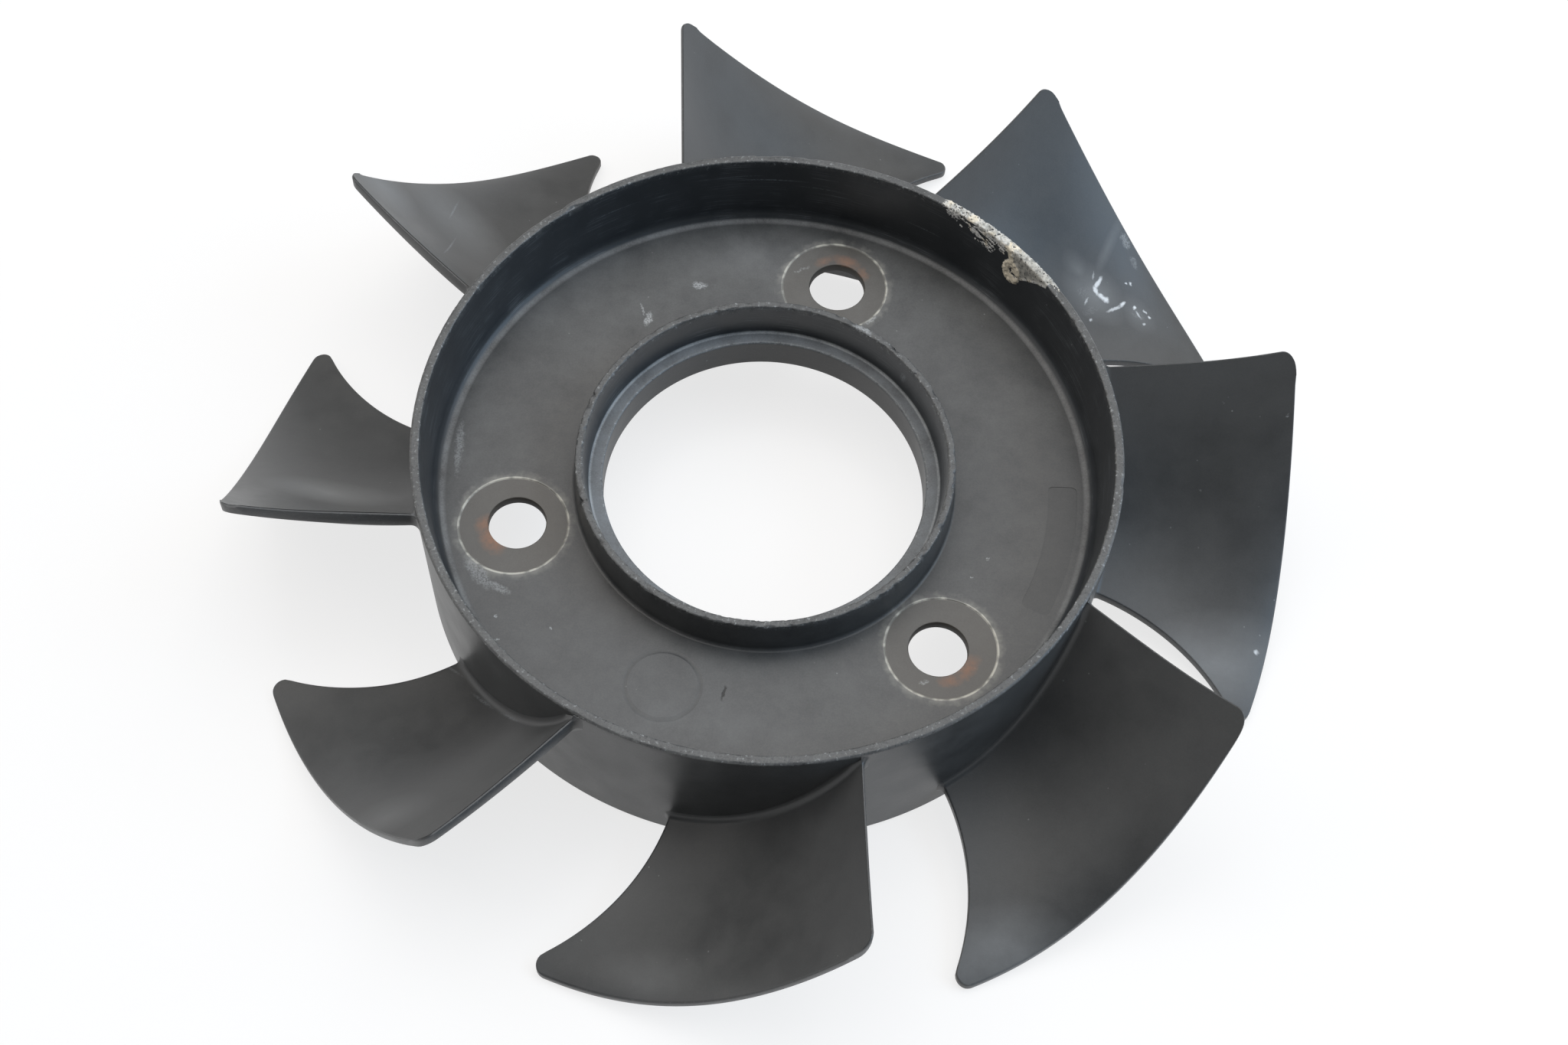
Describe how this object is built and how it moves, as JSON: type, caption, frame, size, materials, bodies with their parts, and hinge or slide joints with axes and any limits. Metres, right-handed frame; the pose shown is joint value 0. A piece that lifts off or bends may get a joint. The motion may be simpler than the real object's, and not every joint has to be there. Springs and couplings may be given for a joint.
{
  "type": "axial fan impeller",
  "caption": "Moulded axial fan impeller: a short bolted drum hub with a pilot bore and twisted, hollow-faced blades with concave rear edges.",
  "frame": {"origin": "on the fan's axis, on the web's lower face, which seats on the drive flange", "axes": "+Z along the axis towards the drum's open rim and collar; the camera of the picture looks from -Y"},
  "size_m": [0.1828, 0.1828, 0.0364],
  "materials": {
    "moulded_nylon": "moulded, matt, handled and worn pale along its edges"
  },
  "bodies": {
    "root": {"impeller": "moulded_nylon"}
  },
  "joints": []
}
